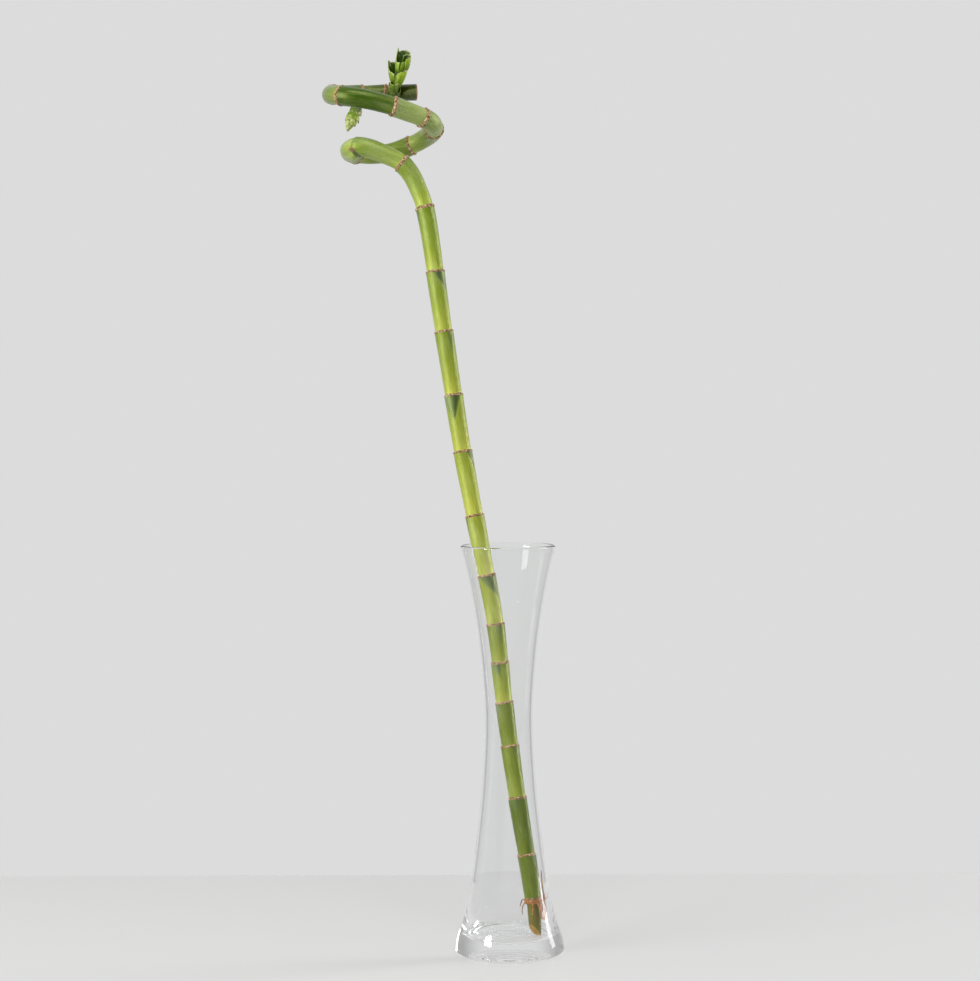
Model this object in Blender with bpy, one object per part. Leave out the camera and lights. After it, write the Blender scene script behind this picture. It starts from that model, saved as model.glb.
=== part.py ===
"""Lucky bamboo: one spiral cane with its roots and two cut shoots, in a clear glass vase.

Metres, +Z up. The origin is the centre of the vase's flat underside, and the front is seen when
one looks along +Y. The cane leans left and back, stands on the vase's inner floor and touches the
rim from inside. Lists of points are in millimetres.
"""
import math

import bmesh
import bpy
from mathutils import Matrix, Vector

MM = 0.001
SEAT_GAP = 0.3               # millimetres left between pieces that rest on each other

# Vase: a turned glass tube with an hourglass outline
VASE_HEIGHT = 300
VASE_SIDES = 56
VASE_OUTLINE = [(2, 40.1), (8, 39.5), (22, 34.7), (52, 28.5), (97, 22.4), (135, 19.1), (172, 17.7),
                (203, 19.3), (240, 23.3), (270, 28.4), (298.7, 34.85)]   # (height, outer radius)
FOOT_ROUND = 2               # round edge under the foot
FLOOR_HEIGHT = 11            # top of the thick glass base
FLOOR_CORNER = 4             # round corner between floor and wall
WALL = 2.3
WALL_EXTRA = 3.9             # the wall is thicker by this at the floor, and thins upwards
WALL_FADE = 16
LIP_RADIUS = 1.3
OUTER_BANDS, INNER_BANDS, ROUND_BANDS = 17, 15, 4

# Cane: points of its centre line from the stump up. The last ones wind round the spiral,
# clockwise as seen from above.
CANE_POINTS = [(19.4, -9.4, 2), (16.9, -6.8, 40.5), (6.0, -0.4, 114), (-3.4, 5.5, 183.5),
               (-9.7, 9.2, 241), (-20.2, 13.8, 298), (-33.1, 20.0, 368), (-47.0, 28.8, 458),
               (-60.9, 36.9, 551), (-65.4, 37.8, 564), (-71.5, 37.5, 576.5), (-78.7, 36.6, 584.5),
               (-90.4, 35.5, 590.5), (-103.0, 35.0, 595.3), (-111.8, 37.2, 596.5),
               (-117.0, 46.0, 595.8), (-118.4, 60.0, 596.5), (-118.4, 74.0, 597.1),
               (-114.2, 85.0, 597.5), (-103.8, 92.0, 598.0), (-88.5, 95.0, 600.0),
               (-72.1, 92.0, 605.5), (-61.6, 84.5, 610.0), (-56.0, 73.0, 612.8),
               (-54.9, 59.0, 614.2), (-56.7, 47.5, 616.3), (-63.5, 40.5, 619.2),
               (-73.7, 35.5, 622.5), (-85.0, 30.5, 626.0), (-102.2, 26.0, 630.0),
               (-115.5, 26.5, 632.3), (-123.7, 31.5, 634.0), (-129.9, 43.0, 636.2),
               (-131.9, 58.0, 638.8), (-132.5, 74.0, 641.6), (-129.5, 88.0, 644.0),
               (-120.9, 97.0, 645.4), (-105.6, 101.0, 646.4), (-86.9, 100.5, 646.8),
               (-68.5, 95.0, 646.4)]
STALK_SIDES = 16
STUMP_LENGTH = 38.7          # from the first point to the lowest ring
INTERNODES = [32.3, 42.3, 38.2, 32.2, 29.4, 28.5, 36.8, 44.9, 48.4, 42.8, 48.1, 45.6, 49.1,
              38, 43, 41, 48, 36, 27, 25, 40.5, 49, 36, 18.5, 23]
SPIRAL_RING = 13             # index of the ring where the cane starts to bend
STUMP_RADIUS, STUMP_TIP_RADIUS = 4.7, 3.6
STUMP_TAPER = 0.6            # share of the stump's length over which its tip thins
# (distance along the cane, radius just above a ring)
CANE_GIRTH = [(0, 6.0), (300, 6.35), (560, 6.35), (600, 6.5), (640, 6.95), (900, 6.8), (985, 5.8)]
NODE_SWELL = 0.75            # an internode is wider by this just under its upper ring
STRAIGHT_STEP, SPIRAL_STEP = 12, 5.5   # spacing of the cross-sections
RING_STEP = 0.4              # half the height of the step at a ring
STUMP_CUT = Vector((-0.62, -0.55, -0.56)).normalized()   # the slanting cut faces this way
STUMP_CUT_DEPTH = 13         # from the stump's end up to where the cut crosses the centre line

# Bud eye: a raised scale under the bend, just past a ring of the lower turn
BUD_RING = 15
BUD_OFFSET = 4.0
BUD_SIDE = math.radians(-105)   # round the cane
BUD_HEIGHT, BUD_LENGTH, BUD_WIDTH = 2.4, 4.0, math.radians(24)

# Roots: a collar of root tissue under the lowest ring, and the roots that leave it
COLLAR_HEIGHT, COLLAR_RADIUS, COLLAR_BORE = 3.2, 6.6, 5.05
COLLAR_ROUNDING = 0.7        # the collar is narrower by this at its ends
BORE_OVERSHOOT = 2
ROOT_SIDES = 6
ROOT_BAND = 2.2              # spacing of a root's cross-sections
ROOT_START = 0.5             # how deep in the collar's wall a root starts
ROOT_TIP = 0.62              # thickness left at a root's tip
# (direction round the cane in degrees from the right towards the back, thickness,
# points outward and upward from the collar)
ROOTS = [(8, 1.0, [(0, 0), (1.6, 0.9), (1.8, 4.5), (1.2, 10.0), (0.6, 16.0), (-0.1, 23.0)]),
         (-12, 0.9, [(0, 0), (1.7, 0.9), (2.1, 3.2), (1.9, 5.6), (1.4, 7.6)]),
         (14, 0.9, [(0, 0), (1.6, -0.1), (2.8, -0.6), (3.4, -2.2)]),
         (-28, 1.7, [(0, 0), (1.9, -1.6), (3.2, -6.5), (3.0, -13.5)]),
         (-52, 1.5, [(0, 0), (2.0, -2.4), (3.0, -8.0), (4.2, -12.0)]),
         (34, 1.3, [(0, 0), (1.8, -1.2), (3.2, -5.0), (3.2, -10.0)]),
         (75, 1.0, [(0, 0), (2.0, -0.5), (3.2, -4.0), (3.0, -9.0)]),
         (-95, 1.0, [(0, 0), (1.8, -1.5), (2.2, -6.0), (3.0, -8.5)]),
         (-150, 0.8, [(0, 0), (2.4, -1.6), (3.8, -5.5), (3.6, -9.5)]),
         (165, 0.8, [(0, 0), (2.4, 0.4), (3.6, -2.5), (4.4, -5.5)])]

# Upper shoot: a short stem that leaves the top turn forwards and turns up, with cut leaf bases
UPPER_STEM = [(-86.6, 94.0, 646.0), (-86.2, 89.3, 649.5), (-85.0, 87.5, 655.5),
              (-82.6, 87.5, 663.0), (-80.5, 88.0, 669.0)]
UPPER_STEM_RADII = (3.0, 1.9)
# Each leaf base is a trough: (place along the stem 0..1, its reach, direction of its midrib,
# radii low and high, half the wrap low and high in degrees, slant and droop of the cut edge)
UPPER_LEAVES = [(0.15, (-1.8, -2.0, 8.2), (-1.0, -0.4, 0.0), (3.3, 3.6), (150, 75), (0.0, 0.3)),
                (0.15, (3.9, -2.2, 4.8), (1.0, -0.3, 0.0), (3.3, 3.8), (150, 70), (0.0, 0.3)),
                (0.36, (6.6, -3.4, 7.0), (0.6, -0.5, -0.6), (3.1, 5.0), (140, 78), (-0.1, 0.2)),
                (0.44, (-2.2, -0.8, 13.4), (-0.7, 0.7, 0.0), (3.0, 4.9), (150, 112), (0.2, 0.1)),
                (0.74, (5.2, 0.5, 15.6), (0.55, 0.8, 0.1), (2.7, 5.8), (150, 122), (0.1, 0.35)),
                (0.82, (-1.2, 0.5, 14.4), (-0.7, 0.6, 0.0), (2.4, 1.8), (125, 48), (-0.3, 0.6))]
# A cut side bud that faces forwards
STUB = [(-86.0, 89.5, 649.8), (-85.8, 86.0, 650.9), (-85.6, 82.4, 651.4)]
STUB_RADIUS = 2.8

# Lower shoot: hangs from the top turn's underside inside the spiral
LOWER_STEM = [(-109.5, 99.6, 642.0), (-113.0, 98.0, 638.2), (-117.0, 96.0, 634.0),
              (-119.2, 94.0, 627.0), (-121.4, 93.2, 620.0)]
LOWER_STEM_RADII = (2.3, 1.4)
LOWER_LEAVES = [(0.42, (1.4, -0.6, -5.8), (1.0, -0.3, 0.0), (2.5, 3.0), (140, 65), (0.2, 0.2)),
                (0.60, (-2.2, -1.2, -6.6), (-1.0, -0.2, 0.0), (2.4, 3.1), (150, 82), (-0.2, 0.2)),
                (0.66, (0.8, -1.2, -7.4), (1.0, -0.4, 0.0), (2.3, 3.3), (150, 80), (0.2, 0.2)),
                (0.78, (-1.6, -0.2, -8.6), (-0.3, -1.0, 0.0), (2.1, 1.2), (150, 110), (0.0, 0.3))]
SHOOT_SIDES = 10
STEM_BANDS = 5
SEAT_REACH = 18              # length of cane that a shoot's base is fitted to, each way
LEAF_THICKNESS = 0.8
LEAF_ACROSS, LEAF_ALONG = 7, 4


# ---------------------------------------------------------------- curves
def blend(low, high, share):
    return low + (high - low) * share


def smooth_curve(points, per_span=16):
    """Points of a centripetal Catmull-Rom curve through the given vectors."""
    points = [Vector(p) for p in points]
    points = [2 * points[0] - points[1]] + points + [2 * points[-1] - points[-2]]
    curve = []
    for i in range(1, len(points) - 2):
        p0, p1, p2, p3 = points[i - 1:i + 3]
        t0, t1 = 0.0, math.sqrt((p1 - p0).length)
        t2 = t1 + math.sqrt((p2 - p1).length)
        t3 = t2 + math.sqrt((p3 - p2).length)
        for k in range(per_span):
            t = blend(t1, t2, k / per_span)
            a1 = p0.lerp(p1, (t - t0) / (t1 - t0))
            a2 = p1.lerp(p2, (t - t1) / (t2 - t1))
            a3 = p2.lerp(p3, (t - t2) / (t3 - t2))
            b1 = a1.lerp(a2, (t - t0) / (t2 - t0))
            b2 = a2.lerp(a3, (t - t1) / (t3 - t1))
            curve.append(b1.lerp(b2, (t - t1) / (t2 - t1)))
    curve.append(points[-2].copy())
    return curve


class Route:
    """A smooth curve measured by length, with a frame that turns along without twisting."""

    def __init__(self, points, side=(0, -1, 0)):
        self.points = smooth_curve(points)
        self.lengths = [0.0]
        self.sides = []
        side = Vector(side)
        for i, point in enumerate(self.points):
            ahead = self.points[min(i + 1, len(self.points) - 1)]
            behind = self.points[max(i - 1, 0)]
            along = (ahead - behind).normalized()
            side = (side - along * side.dot(along)).normalized()
            self.sides.append(side)
            if i:
                self.lengths.append(self.lengths[-1] + (point - self.points[i - 1]).length)

    @property
    def length(self):
        return self.lengths[-1]

    def frame(self, distance):
        """Matrix whose origin is on the curve, X is the side, Z runs along the curve."""
        distance = min(max(distance, 0.0), self.length)
        i = next(k for k in range(1, len(self.lengths)) if self.lengths[k] >= distance - 1e-9)
        span = self.lengths[i] - self.lengths[i - 1]
        share = (distance - self.lengths[i - 1]) / span
        origin = self.points[i - 1].lerp(self.points[i], share)
        along = self.direction(i - 1).lerp(self.direction(i), share).normalized()
        side = self.sides[i - 1].lerp(self.sides[i], share)
        side = (side - along * side.dot(along)).normalized()
        turned = Matrix((side, along.cross(side), along)).transposed().to_4x4()
        return Matrix.Translation(origin) @ turned

    def direction(self, i):
        low, high = max(i - 1, 0), min(i + 1, len(self.points) - 1)
        return (self.points[high] - self.points[low]).normalized()


def read_off(table, place):
    """Value at a place, in a straight line between the rows of a table."""
    for (x0, y0), (x1, y1) in zip(table, table[1:]):
        if x1 >= place:
            return blend(y0, y1, (place - x0) / (x1 - x0))
    return table[-1][1]


def outline_radius(height):
    """Outer radius of the vase at a height, read from a smooth curve through its outline."""
    curve = smooth_curve([(z, r, 0) for z, r in VASE_OUTLINE])
    return read_off([(p.x, p.y) for p in curve], height)


# ---------------------------------------------------------------- meshes
def material(name, color, roughness, alpha=1.0, transmission=0.0):
    made = bpy.data.materials.new(name)
    made.use_nodes = True
    shader = made.node_tree.nodes["Principled BSDF"]
    shader.inputs["Base Color"].default_value = (*color, 1.0)
    shader.inputs["Roughness"].default_value = roughness
    shader.inputs["Metallic"].default_value = 0.0
    shader.inputs["Alpha"].default_value = alpha
    shader.inputs["Transmission Weight"].default_value = transmission
    return made


def finish(name, bm, skin=None, sharp=40):
    """Turn a bmesh in millimetres into a named object in metres, with its faces outward."""
    bmesh.ops.recalc_face_normals(bm, faces=bm.faces)
    bmesh.ops.scale(bm, vec=(MM, MM, MM), verts=bm.verts)
    mesh = bpy.data.meshes.new(name)
    bm.to_mesh(mesh)
    bm.free()
    mesh.shade_smooth()
    mesh.set_sharp_from_angle(angle=math.radians(sharp))
    made = bpy.data.objects.new(name, mesh)
    bpy.context.scene.collection.objects.link(made)
    if skin:
        made.data.materials.append(skin)
    return made


def tube(route, sections, sides, shape=None):
    """Closed tube: sections are (distance, radius), and shape may change a vertex's radius."""
    bm = bmesh.new()
    last = None
    for i, (distance, radius) in enumerate(sections):
        frame = route.frame(distance)
        ends = i in (0, len(sections) - 1)
        ring = bmesh.ops.create_circle(bm, cap_ends=ends, segments=sides, radius=1.0)["verts"]
        for vert in ring:
            around = math.atan2(vert.co.y, vert.co.x)
            grown = radius + (shape(distance, around) if shape else 0.0)
            vert.co = frame @ (vert.co * grown)
        edges = list({edge for vert in ring for edge in vert.link_edges})
        if last:
            bmesh.ops.bridge_loops(bm, edges=last + edges)
        last = edges
    return bm


def combine(body, parts, operation):
    """Union with, or difference by, each part. The parts are used up."""
    for part in parts:
        cut = body.modifiers.new(operation, "BOOLEAN")
        cut.operation = operation
        cut.solver = "MANIFOLD"
        cut.object = part
    evaluated = body.evaluated_get(bpy.context.evaluated_depsgraph_get())
    joined = bpy.data.meshes.new_from_object(evaluated)
    body.modifiers.clear()
    body.data = joined
    for part in parts:
        bpy.data.objects.remove(part)
    return body


# ---------------------------------------------------------------- vase
def arc(centre, radius, start, end, steps):
    """Points (r, z) on an arc, from one angle to another in degrees."""
    for k in range(steps + 1):
        angle = math.radians(blend(start, end, k / steps))
        yield centre[0] + radius * math.cos(angle), centre[1] + radius * math.sin(angle)


def inner_radius(height):
    wall = WALL + WALL_EXTRA * math.exp(-(height - FLOOR_HEIGHT) / WALL_FADE)
    return outline_radius(height) - wall


def vase_profile():
    """The glass in section, as (r, z) from under the foot, over the lip, to the inner floor."""
    foot = (outline_radius(FOOT_ROUND) - FOOT_ROUND, FOOT_ROUND)
    lip_height = VASE_HEIGHT - LIP_RADIUS
    lip = (outline_radius(lip_height) - LIP_RADIUS, lip_height)
    corner_top = FLOOR_HEIGHT + FLOOR_CORNER
    corner = (inner_radius(corner_top) - FLOOR_CORNER, corner_top)
    profile = list(arc(foot, FOOT_ROUND, -90, 0, ROUND_BANDS))
    profile += [(outline_radius(z), z) for z in heights(FOOT_ROUND, lip_height, OUTER_BANDS)]
    profile += list(arc(lip, LIP_RADIUS, 0, 180, 2 * ROUND_BANDS))
    downwards = heights(lip_height, corner_top, INNER_BANDS)
    profile += [(inner_radius(z), z) for z in downwards]
    profile += list(arc(corner, FLOOR_CORNER, 0, -90, ROUND_BANDS))
    return profile


def heights(start, end, bands):
    return [blend(start, end, k / bands) for k in range(1, bands)]


def build_vase():
    bm = bmesh.new()
    verts = [bm.verts.new((r, 0, z)) for r, z in vase_profile()]
    edges = [bm.edges.new(pair) for pair in zip(verts, verts[1:])]
    bmesh.ops.spin(bm, geom=verts + edges, cent=(0, 0, 0), axis=(0, 0, 1), dvec=(0, 0, 0),
                   angle=2 * math.pi, steps=VASE_SIDES, use_merge=True)
    open_edges = [edge for edge in bm.edges if edge.is_boundary]
    bmesh.ops.holes_fill(bm, edges=open_edges, sides=0)
    glass = material("vase", (0.92, 0.95, 0.95), 0.03, alpha=0.35, transmission=1.0)
    return finish("vase", bm, glass)


# ---------------------------------------------------------------- stalk
def ring_places():
    """Distances of the node rings along the cane. The last one is the cut end."""
    places = [STUMP_LENGTH]
    for length in INTERNODES:
        places.append(places[-1] + length)
    return places


def cane_radius(distance, ring_low, ring_high):
    """Radius within one internode: narrow above its lower ring, widest under its upper one."""
    share = (distance - ring_low) / (ring_high - ring_low)
    return read_off(CANE_GIRTH, distance) + NODE_SWELL * share


def stalk_sections():
    places = ring_places()
    sections = [(0.0, STUMP_TIP_RADIUS), (STUMP_LENGTH * STUMP_TAPER, STUMP_RADIUS),
                (STUMP_LENGTH - RING_STEP, STUMP_RADIUS)]
    for ring, (low, high) in enumerate(zip(places, places[1:])):
        step = STRAIGHT_STEP if ring < SPIRAL_RING else SPIRAL_STEP
        count = max(2, round((high - low) / step))
        for k in range(count + 1):
            distance = blend(low + RING_STEP, high - RING_STEP, k / count)
            sections.append((distance, cane_radius(distance, low, high)))
    return sections


def bud_swell(distance, around):
    """Height of the bud eye's scale above the cane's surface."""
    along = (distance - ring_places()[BUD_RING] - BUD_OFFSET) / BUD_LENGTH
    across = (around - BUD_SIDE) / BUD_WIDTH
    return BUD_HEIGHT * math.exp(-along * along - across * across)


def slice_off(bm, point, normal):
    """Cut away what lies beyond a plane and close the cut."""
    geometry = bm.verts[:] + bm.edges[:] + bm.faces[:]
    cut = bmesh.ops.bisect_plane(bm, geom=geometry, plane_co=point, plane_no=normal,
                                 clear_outer=True)
    edges = [item for item in cut["geom_cut"] if isinstance(item, bmesh.types.BMEdge)]
    bmesh.ops.contextual_create(bm, geom=edges)


def build_stalk(route):
    bm = tube(route, stalk_sections(), STALK_SIDES, bud_swell)
    slice_off(bm, route.frame(STUMP_CUT_DEPTH).translation, STUMP_CUT)
    slice_off(bm, Vector((0, 0, FLOOR_HEIGHT + SEAT_GAP)), Vector((0, 0, -1)))
    return finish("stalk", bm, material("stalk", (0.42, 0.58, 0.16), 0.42))


# ---------------------------------------------------------------- roots
def root_route(route, degrees, reach):
    """Route of one root, from points given outward and upward of the collar's middle."""
    middle = route.frame(STUMP_LENGTH - RING_STEP - SEAT_GAP - COLLAR_HEIGHT / 2).translation
    turn = math.radians(degrees)
    outward = Vector((math.cos(turn), math.sin(turn), 0))
    start = middle + outward * (COLLAR_BORE + ROOT_START)
    return Route([start + outward * out + Vector((0, 0, up)) for out, up in reach])


def build_roots(route):
    """The collar sits under the lowest ring's ledge, and each root runs out of it."""
    top = STUMP_LENGTH - RING_STEP - SEAT_GAP
    end_radius = COLLAR_RADIUS - COLLAR_ROUNDING
    rings = [(top - COLLAR_HEIGHT, end_radius), (top - COLLAR_HEIGHT / 2, COLLAR_RADIUS),
             (top, end_radius)]
    collar = finish("roots", tube(route, rings, STALK_SIDES))
    strands = []
    for number, (degrees, thickness, reach) in enumerate(ROOTS):
        line = root_route(route, degrees, reach)
        count = max(4, round(line.length / ROOT_BAND))
        shares = [k / count for k in range(count + 1)]
        sections = [(line.length * share, thickness / 2 * blend(1.0, ROOT_TIP, share ** 2))
                    for share in shares]
        strands.append(finish(f"root_{number}", tube(line, sections, ROOT_SIDES)))
    combine(collar, strands, "UNION")
    bore = [(top - COLLAR_HEIGHT - BORE_OVERSHOOT, COLLAR_BORE),
            (top + BORE_OVERSHOOT, COLLAR_BORE)]
    combine(collar, [finish("bore", tube(route, bore, STALK_SIDES))], "DIFFERENCE")
    collar.data.materials.clear()
    collar.data.materials.append(material("roots", (0.62, 0.30, 0.12), 0.6))
    return collar


# ---------------------------------------------------------------- shoots
def cut_leaf(name, stem, spec):
    """One cut leaf base: a trough that wraps the stem below and opens towards its cut end."""
    place, reach, midrib, radii, wraps, (slant, droop) = spec
    foot = stem.frame(stem.length * place).translation
    along, length = Vector(reach).normalized(), Vector(reach).length
    out = Vector(midrib)
    out = (out - along * out.dot(along)).normalized()
    side = along.cross(out)
    bm = bmesh.new()
    bmesh.ops.create_grid(bm, x_segments=LEAF_ACROSS, y_segments=LEAF_ALONG, size=1.0)
    for vert in bm.verts:
        across, up = vert.co.x, (vert.co.y + 1) / 2
        angle = math.radians(blend(*wraps, up)) * across
        rise = length * up * (1 + slant * across - droop * across * across)
        spread = out * math.cos(angle) + side * math.sin(angle)
        vert.co = foot + along * rise + spread * blend(*radii, up)
    bm.normal_update()
    bmesh.ops.solidify(bm, geom=bm.faces[:], thickness=LEAF_THICKNESS)
    return finish(name, bm)


def keep_largest(body):
    """Drop loose scraps that trimming left beside the main piece."""
    bm = bmesh.new()
    bm.from_mesh(body.data)
    waiting, pieces = set(bm.verts), []
    while waiting:
        piece, edge_of = set(), [waiting.pop()]
        while edge_of:
            vert = edge_of.pop()
            piece.add(vert)
            found = {edge.other_vert(vert) for edge in vert.link_edges} & waiting
            waiting -= found
            edge_of += found
        pieces.append(piece)
    pieces.sort(key=len)
    bmesh.ops.delete(bm, geom=[v for piece in pieces[:-1] for v in piece], context="VERTS")
    bm.to_mesh(body.data)
    bm.free()


def build_shoot(name, stem_points, radii, leaves, cane, extra=()):
    """A stem with its leaf bases in one piece, trimmed to sit a hair off the cane's surface."""
    stem = Route(stem_points)
    sections = [(stem.length * k / STEM_BANDS, blend(*radii, k / STEM_BANDS))
                for k in range(STEM_BANDS + 1)]
    body = finish(name, tube(stem, sections, SHOOT_SIDES))
    parts = [cut_leaf(f"{name}_leaf_{i}", stem, spec) for i, spec in enumerate(leaves)]
    combine(body, parts + list(extra), "UNION")
    seat = nearest(cane, stem_points[0])
    near = [(place, radius + SEAT_GAP) for place, radius in stalk_sections()
            if abs(place - seat) < SEAT_REACH]
    combine(body, [finish("cutter", tube(cane, near, STALK_SIDES))], "DIFFERENCE")
    keep_largest(body)
    body.data.materials.clear()
    body.data.materials.append(material(name, (0.16, 0.36, 0.03), 0.45))


def build_upper_shoot(cane):
    stub = Route(STUB)
    cup = finish("stub", tube(stub, [(0, STUB_RADIUS), (stub.length, STUB_RADIUS)], SHOOT_SIDES))
    build_shoot("upper_shoot", UPPER_STEM, UPPER_STEM_RADII, UPPER_LEAVES, cane, [cup])


def build_lower_shoot(cane):
    build_shoot("lower_shoot", LOWER_STEM, LOWER_STEM_RADII, LOWER_LEAVES, cane)


def nearest(route, point):
    """Distance along a route at which it passes closest to a point."""
    gaps = [(p - Vector(point)).length for p in route.points]
    return route.lengths[gaps.index(min(gaps))]


def main():
    for old in list(bpy.data.objects):
        bpy.data.objects.remove(old)
    cane = Route(CANE_POINTS)
    build_vase()
    build_stalk(cane)
    build_roots(cane)
    build_upper_shoot(cane)
    build_lower_shoot(cane)


main()
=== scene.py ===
"""Looks of the lucky bamboo: a spiral cane with ring scars, roots and two cut shoots, in a vase.

Sizes and points are in millimetres, as in the part's own source. Finished meshes are in metres.
"""
import math
import random

import bmesh
import bpy
from mathutils import Euler, Matrix, Vector, noise


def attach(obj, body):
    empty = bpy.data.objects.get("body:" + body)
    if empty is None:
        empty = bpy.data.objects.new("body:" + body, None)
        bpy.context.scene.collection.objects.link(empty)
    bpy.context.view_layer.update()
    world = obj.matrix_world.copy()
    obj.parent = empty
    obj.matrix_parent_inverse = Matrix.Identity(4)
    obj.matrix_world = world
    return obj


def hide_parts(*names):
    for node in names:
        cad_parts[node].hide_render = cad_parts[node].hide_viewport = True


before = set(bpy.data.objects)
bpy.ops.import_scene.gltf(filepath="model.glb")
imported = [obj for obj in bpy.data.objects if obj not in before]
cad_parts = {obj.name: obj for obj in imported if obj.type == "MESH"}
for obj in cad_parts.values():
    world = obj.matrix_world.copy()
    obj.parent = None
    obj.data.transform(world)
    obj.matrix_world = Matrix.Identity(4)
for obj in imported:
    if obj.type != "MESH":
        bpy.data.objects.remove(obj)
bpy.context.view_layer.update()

MM = 0.001

# Vase: a turned glass tube with an hourglass outline, as (height, outer radius)
VASE_HEIGHT = 300
VASE_SIDES = 160
VASE_OUTLINE = [(2, 40.1), (8, 39.5), (22, 34.7), (52, 28.5), (97, 22.4), (135, 19.1), (172, 17.7),
                (203, 19.3), (240, 23.3), (270, 28.4), (298.7, 34.85)]
FOOT_ROUND = 2
FLOOR_HEIGHT = 11
FLOOR_CORNER = 4
WALL, WALL_EXTRA, WALL_FADE = 2.3, 3.9, 16
LIP_RADIUS = 1.3
FLOOR_GROOVES, GROOVE_DEPTH, GROOVE_HALF = (22.5, 19, 15, 10.5), 0.22, 0.9
FOOT_RIM, FOOT_HOLLOW = 4.5, 1.3
FOOT_STEPS = (0.2, 0.4, 0.6, 0.8, 0.94)
POLE_INSET = 3.0
OUTER_BANDS, INNER_BANDS, ROUND_BANDS = 90, 84, 10
GLASS_TINT, PASSED_LIGHT = (0.955, 0.96, 0.96, 1), (0.98, 0.98, 0.98, 1)
PASSING_RAYS = ("Is Shadow Ray", "Is Diffuse Ray")
GLASS_BOUNCES = 32

# Cane: points of its centre line from the stump up
CANE_POINTS = [(19.4, -9.4, 2), (16.9, -6.8, 40.5), (6.0, -0.4, 114), (-3.4, 5.5, 183.5),
               (-9.7, 9.2, 241), (-20.2, 13.8, 298), (-33.1, 20.0, 368), (-47.0, 28.8, 458),
               (-60.9, 36.9, 551), (-65.4, 37.8, 564), (-71.5, 37.5, 576.5), (-78.7, 36.6, 584.5),
               (-90.4, 35.5, 590.5), (-103.0, 35.0, 595.3), (-111.8, 37.2, 596.5),
               (-117.0, 46.0, 595.8), (-118.4, 60.0, 596.5), (-118.4, 74.0, 597.1),
               (-114.2, 85.0, 597.5), (-103.8, 92.0, 598.0), (-88.5, 95.0, 600.0),
               (-72.1, 92.0, 605.5), (-61.6, 84.5, 610.0), (-56.0, 73.0, 612.8),
               (-54.9, 59.0, 614.2), (-56.7, 47.5, 616.3), (-63.5, 40.5, 619.2),
               (-73.7, 35.5, 622.5), (-85.0, 30.5, 626.0), (-102.2, 26.0, 630.0),
               (-115.5, 26.5, 632.3), (-123.7, 31.5, 634.0), (-129.9, 43.0, 636.2),
               (-131.9, 58.0, 638.8), (-132.5, 74.0, 641.6), (-129.5, 88.0, 644.0),
               (-120.9, 97.0, 645.4), (-105.6, 101.0, 646.4), (-86.9, 100.5, 646.8),
               (-68.5, 95.0, 646.4), (-60.5, 92.0, 646.2)]
CANE_LENGTH = 985
CANE_SIDES = 56
CANE_STEP = 1.1
STUMP_LENGTH = 38.7
INTERNODES = [32.3, 42.3, 38.2, 32.2, 29.4, 28.5, 36.8, 44.9, 48.4, 42.8, 48.1, 45.6, 49.1,
              38, 36, 48, 48, 36, 27, 25, 40.5, 49, 36, 18.5, 31]
SPIRAL_RING = 13
# How deep the green of each internode is, from 0 pale to 1 dark, and how much white wax it has;
# on some internodes the wax also stands for a painted highlight
DEPTHS = [0.8, 1.0, 0.5, 0.75, 0.3, 0.55, 0.2, 0.1, 0.15, 0.3, 0.45, 0.35, 0.4,
          0.3, 0.4, 0.6, 0.5, 0.4, 0.25, 0.15, 1.0, 0.65, 0.75, 0.85, 1.0]
WAX_AND_HIGHLIGHTS = {7: 0.3, 13: 0.2, 14: 0.3, 15: 0.6, 17: 0.4, 18: 0.5, 19: 0.9, 22: 0.3}
STUMP_RADIUS, STUMP_TIP_RADIUS, STUMP_TAPER = 4.7, 3.6, 0.6
# Shares of the cane's length between which the skin turns brown, down towards the stump
STUMP_BROWN = (0.041, 0.038)
CANE_GIRTH = [(0, 6.0), (300, 6.35), (560, 6.35), (600, 6.5), (640, 6.95), (900, 6.8), (985, 5.8)]
NODE_SWELL = 0.75
RING_STEP = 0.4
SEAT_GAP = 0.3
SCAR_THICKNESS, FIRST_SCAR_STEP = 0.25, 1.2
# How far a ring scar wanders, how torn its edge is, and its bulk
STRAIGHT_SCAR, SPIRAL_SCAR = (0.25, 0.07, 1.0), (0.45, 0.17, 1.5)
STUMP_CUT = Vector((-0.62, -0.55, -0.56)).normalized()
STUMP_CUT_DEPTH = 13
END_BROWN = 1.6
END_CUT, END_CUT_PLACE = Vector((0.98, 0.2, 0.03)).normalized(), Vector((-68.1, 88.5, 645.5))

# Grey-green sheath marks under rings, each a flap that narrows downwards to a point:
# ring number -> (left edge, right edge and point in degrees round the cane, length, strength,
# side that is darkest from -1 left to 1 right). 0 degrees faces the front and 90 the right.
# Each mark sinks a shallow dent, and its darker side is painted shade in that dent.
MARKS = {1: (20, 110, 80, 12, 0.6, -1), 2: (-60, 30, -20, 12, 0.5, 1), 3: (10, 80, 60, 14, 0.5, -1),
         4: (-90, -20, -50, 12, 0.5, 1), 5: (-85, 12, -5, 11, 0.8, 1), 6: (0, 45, 20, 18, 0.6, 1),
         7: (-60, 95, 62, 19, 0.9, 0), 8: (-110, -52, -72, 17, 0.9, 1),
         9: (17, 100, 74, 15, 0.9, -1), 10: (-100, 44, -12, 20, 1.0, 1),
         11: (22, 100, 34, 20, 0.6, -1), 12: (-16, 105, 68, 18, 1.0, -1),
         13: (-110, -40, -70, 14, 0.6, 1)}
# How deep a mark's dent sinks, its soft edge, and where across it the painted shade is darkest
MARK_DEPTH, MARK_SOFT_EDGE, MARK_DARK_PLACE = 0.3, 0.12, 0.62

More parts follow.
